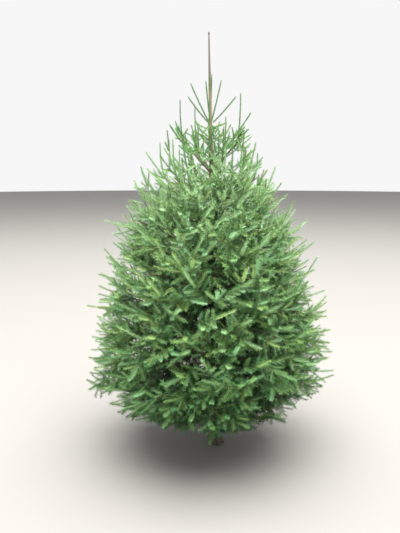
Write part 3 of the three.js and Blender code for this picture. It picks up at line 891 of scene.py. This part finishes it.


# Needles. Stiff, pointed, a little bent, all round each shoot and leaning towards its tip, closer
# above than below. Each shoot's needles have one green: lighter on young leading shoots and darker
# on older branches and spines, warmer or cooler on some. Painted shade darkens the greens deep inside
# the crown and low down, and painted light lightens them high up, with pale painted glints there.
NEEDLE_SEED = 50
TINT_SEED = 31
NEEDLES_PER_METRE = 725
INNER_NEEDLES_SHARE = 0.37
NEEDLE_LENGTH = 0.018
NEEDLE_WIDTH = 0.0032
INNER_NEEDLE_LENGTH = 0.023
INNER_NEEDLE_WIDTH = 0.0065
NEEDLE_LENGTH_VARIES = (0.8, 1.15)
NEEDLE_LEAN = 48
NEEDLE_LEAN_VARIES = 9
CLOSER_ABOVE = 6
TIP_FROM = 0.88
TIP_LEAN_SHARE = 0.55
NEEDLE_LIFT = 0.12
WIDEST_AT = 0.45
NEEDLE_BEND = 0.25
COVER = {"limb": 1.0, "branch": 0.5, "spine": 0.95, "side": 0.94, "lead": 1.0}
THICK = {"limb": 0.6, "branch": 0.4, "spine": 0.5, "side": 1.0, "lead": 1.0}
TINT_BY_KIND = {"limb": -0.5, "branch": -1.2, "spine": -0.7, "side": 0.0, "lead": 0.5}
SIZE_BY_HEIGHT = ((1.5, 1), (1.8, 0.68))
LEAN_BY_HEIGHT = ((1.5, 1), (1.8, 0.7))
COUNT_BY_HEIGHT = ((1.5, 1), (1.8, 1.9))
OUTER_TINT = 2.5
TINT_VARIES = 0.5
# Painted light and shade by height: greens darker low down and lighter high up, where the upper crown
# catches more light.
SHADE_PAINTED_LOW_DOWN = ((0.25, -2.2), (0.45, -1.3), (0.6, -0.2), (0.8, 0.7))
LIGHT_PAINTED_HIGH_UP = ((1.0, 1.0), (1.5, 2.3), (1.65, 2.7), (1.85, 2.2))
LIGHT_AND_SHADE_BY_HEIGHT = SHADE_PAINTED_LOW_DOWN + LIGHT_PAINTED_HIGH_UP
# Painted shade: the greens darken the deeper a shoot stands inside the crown, beyond the real dullness
# of older needles.
SHADE_PAINTED_INSIDE = ((1.1, 4.8), (1.5, 3.2), (1.75, 2))
# Painted highlights: the share of shoots given pale green, mostly high up, standing for glints and the
# brighter light on the crown's top.
GLINTS_PAINTED_BY_HEIGHT = ((1.2, 0), (1.45, 0.25), (1.6, 0.65), (1.8, 0.45), (1.9, 0.1))
GREENS = {
    "deep green": (0.031, 0.109, 0.028),
    "dark green": (0.069, 0.197, 0.056),
    "mid green": (0.118, 0.273, 0.084),
    "fresh green": (0.160, 0.325, 0.108),
    "light green": (0.194, 0.360, 0.136),
    "pale green glint": (0.300, 0.492, 0.226),
}
DEEP, DARK, MIDDLE, FRESH, LIGHT, PALE = range(len(GREENS))
HUES = {"warmer": (1.12, 1.0, 0.82), "cooler": (0.90, 0.99, 1.16)}
WARMER_SHARE = 0.3
COOLER_SHARE = 0.3
NEEDLE_ROUGHNESS = 0.48

greens = [plain_material(name, colour, NEEDLE_ROUGHNESS) for name, colour in GREENS.items()]
for hue, factors in HUES.items():
    for name, colour in list(GREENS.items())[DARK : LIGHT + 1]:
        shifted = np.array(colour) * factors
        greens.append(plain_material(f"{name}, {hue}", shifted.tolist(), NEEDLE_ROUGHNESS))
warmer_step = len(GREENS) - DARK
cooler_step = warmer_step + LIGHT + 1 - DARK


def needle_piece(name, shoots, covers, tints, seed, nodes):
    """All the needles of some shoots, each a thin pointed blade of two faces."""
    draws = np.random.default_rng(seed)
    thick = [THICK[s.kind] * (INNER_NEEDLES_SHARE if s.inner else 1) for s in shoots]
    thick *= np.interp([s.points[2][2] for s in shoots], *zip(*COUNT_BY_HEIGHT))
    counts = [int(NEEDLES_PER_METRE * s.length * c * t) for s, c, t in zip(shoots, covers, thick)]
    counts = np.array(counts)
    which = np.repeat(np.arange(len(shoots)), counts)
    rank = np.arange(len(which)) - np.repeat(np.cumsum(counts) - counts, counts)
    start = 1 - np.array(covers)[which]
    share = start + (1 - start) * (rank + draws.random(len(which))) / counts[which]
    points = np.stack([shoot.points for shoot in shoots])[which]
    share = share[:, None]
    rooted, bent, tipped = points[:, 0], points[:, 1], points[:, 2]
    place = (1 - share) ** 2 * rooted + 2 * share * (1 - share) * bent + share**2 * tipped
    along = unit((1 - share) * (bent - rooted) + share * (tipped - bent))
    side = unit(np.cross(along, [0.0, 0.0, 1.0]))
    over = np.cross(side, along)
    phase = draws.uniform(0, 2 * math.pi, len(shoots))[which]
    turn = (rank * GOLDEN_TURN + phase)[:, None]
    out = side * np.cos(turn) + over * np.sin(turn)
    lean = NEEDLE_LEAN + draws.normal(0, NEEDLE_LEAN_VARIES, len(which))
    lean -= CLOSER_ABOVE * np.sin(turn[:, 0])
    lean *= np.interp(place[:, 2], *zip(*LEAN_BY_HEIGHT))
    lean *= np.interp(share[:, 0], (TIP_FROM, 1), (1, TIP_LEAN_SHARE))
    lean = np.radians(lean)[:, None]
    way = unit(along * np.cos(lean) + out * np.sin(lean) + np.array([0, 0, NEEDLE_LIFT]))
    high = np.interp(place[:, 2], *zip(*SIZE_BY_HEIGHT))
    inner = np.array([shoot.inner for shoot in shoots])[which]
    length = np.where(inner, INNER_NEEDLE_LENGTH, NEEDLE_LENGTH)
    length = (length * high * draws.uniform(*NEEDLE_LENGTH_VARIES, len(which)))[:, None]
    width = np.where(inner, INNER_NEEDLE_WIDTH, NEEDLE_WIDTH)[:, None]
    across = unit(np.cross(way, out)) * width / 2
    root = place + out * TWIG_RADIUS / 2
    middle = root + way * length * WIDEST_AT - out * width * NEEDLE_BEND
    corners = np.stack([root, middle + across, middle - across, root + way * length], axis=1)
    first = np.arange(len(which))[:, None] * 4
    faces = np.stack([first + [0, 1, 3], first + [0, 3, 2]], axis=1).reshape(-1, 3)
    face_tints = np.repeat(np.array(tints)[which], 2)
    piece = mesh_piece(name, corners.reshape(-1, 3), faces, greens, face_tints)
    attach(piece, "root")
    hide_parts(*nodes)


def shoot_tint(shoot, draws):
    """The green of a shoot's needles by its kind, with painted shade by its depth in the crown and low
    down, and painted light and glints high up.
    """
    tip = shoot.points[2]
    height = tip[2]
    flat = tip[:2] - trunk_middle(height)[:2]
    depth = 1 - np.hypot(*flat) / float(crown_radius(height, math.atan2(flat[1], flat[0])))
    # Painted shade by depth in the crown, then a random spread of tone.
    shade = OUTER_TINT - np.interp(height, *zip(*SHADE_PAINTED_INSIDE)) * max(depth, 0)
    shade += draws.normal(0, TINT_VARIES)
    # Painted light and shade by height, then the shoot's kind.
    shade += np.interp(height, *zip(*LIGHT_AND_SHADE_BY_HEIGHT)) + TINT_BY_KIND[shoot.kind]
    # Pale green shoots are painted glints.
    pale = draws.random() < np.interp(height, *zip(*GLINTS_PAINTED_BY_HEIGHT))
    tint = PALE if pale else int(np.clip(round(shade), DEEP, LIGHT))
    hue = draws.random()
    if DARK <= tint <= LIGHT and hue < WARMER_SHARE:
        tint += warmer_step
    elif DARK <= tint <= LIGHT and hue > 1 - COOLER_SHARE:
        tint += cooler_step
    return tint


draws = np.random.default_rng(TINT_SEED)
for whorl in whorls:
    shoots = [shoot for bough in boughs if bough.whorl is whorl for shoot in woods[bough].shoots]
    covers = [COVER[shoot.kind] for shoot in shoots]
    tints = [shoot_tint(shoot, draws) for shoot in shoots]
    nodes = [f"foliage_{whorl.index + 1}_{number + 1}" for number in range(BOUGHS_IN_WHORL)]
    name = f"needles_{whorl.index + 1}"
    needle_piece(name, shoots, covers, tints, NEEDLE_SEED + whorl.index, nodes)


# Leader's foot. Six young twigs grow out of the trunk all round it. They are steep, and needled
# almost from their roots.
TOP_SHOOTS_AT = 1.868
TOP_SHOOTS = ((-8, 46, 0.195), (75, 80, 0.270), (172, 51, 0.185), (255, 68, 0.225))
EXTRA_TOP_SHOOTS = ((150, 62, 0.25), (20, 74, 0.24))
TOP_SHOOT_SAG = 0.06
TOP_SHOOT_COVER = 0.92
TOP_NEEDLE_SEED = 70
TOP_GREENS = (MIDDLE, FRESH)

top_shoots = []
for turn, rise, length in TOP_SHOOTS + EXTRA_TOP_SHOOTS:
    angle = math.radians(turn)
    out = length * math.cos(math.radians(rise))
    up = length * math.sin(math.radians(rise))
    root = round_trunk(0.0, angle, TOP_SHOOTS_AT)
    tip = round_trunk(out, angle, TOP_SHOOTS_AT + up)
    bend = (root + tip) / 2 - np.array([0, 0, TOP_SHOOT_SAG * length])
    top_shoots.append(Shoot("side", [root, bend, tip], -1, 0))
twig_piece("twigs_top", top_shoots)
top_nodes = [f"foliage_top_{number + 1}" for number in range(len(TOP_SHOOTS))]
top_tints = [TOP_GREENS[number % 2] for number in range(len(top_shoots))]
covers = [TOP_SHOOT_COVER] * len(top_shoots)
needle_piece("needles_top", top_shoots, covers, top_tints, TOP_NEEDLE_SEED, top_nodes)
